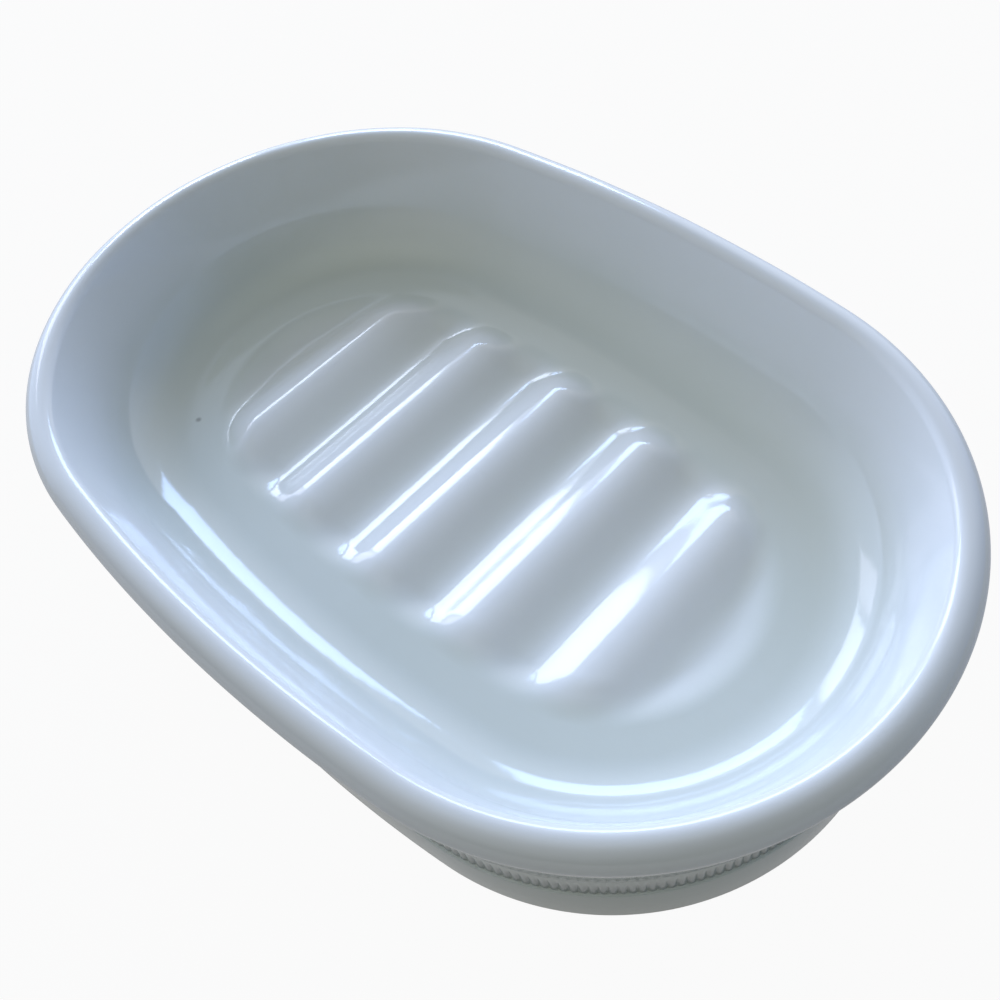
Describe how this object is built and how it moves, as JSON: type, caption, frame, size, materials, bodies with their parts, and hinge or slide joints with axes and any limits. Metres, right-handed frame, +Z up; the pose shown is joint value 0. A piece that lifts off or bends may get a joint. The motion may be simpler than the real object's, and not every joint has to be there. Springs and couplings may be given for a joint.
{
  "type": "soap dish",
  "caption": "Oval glazed ceramic soap dish with a rolled lip, a raised floor of rounded drain ribs, a reeded band round the base and a foot ring; it holds a bar of soap clear of its drips.",
  "frame": {"origin": "under the middle of the dish, on the plane it stands on", "axes": "+X along the length, +Y across the width, +Z up"},
  "size_m": [0.14, 0.093, 0.038],
  "materials": {
    "glaze": "gloss white glaze",
    "foot_glaze": "gloss white glaze, bare on the land it stands on"
  },
  "bodies": {
    "root": {"bowl": "glaze", "ribbed_floor": "glaze", "reeded_band": "glaze", "foot_ring": "foot_glaze"}
  },
  "joints": []
}
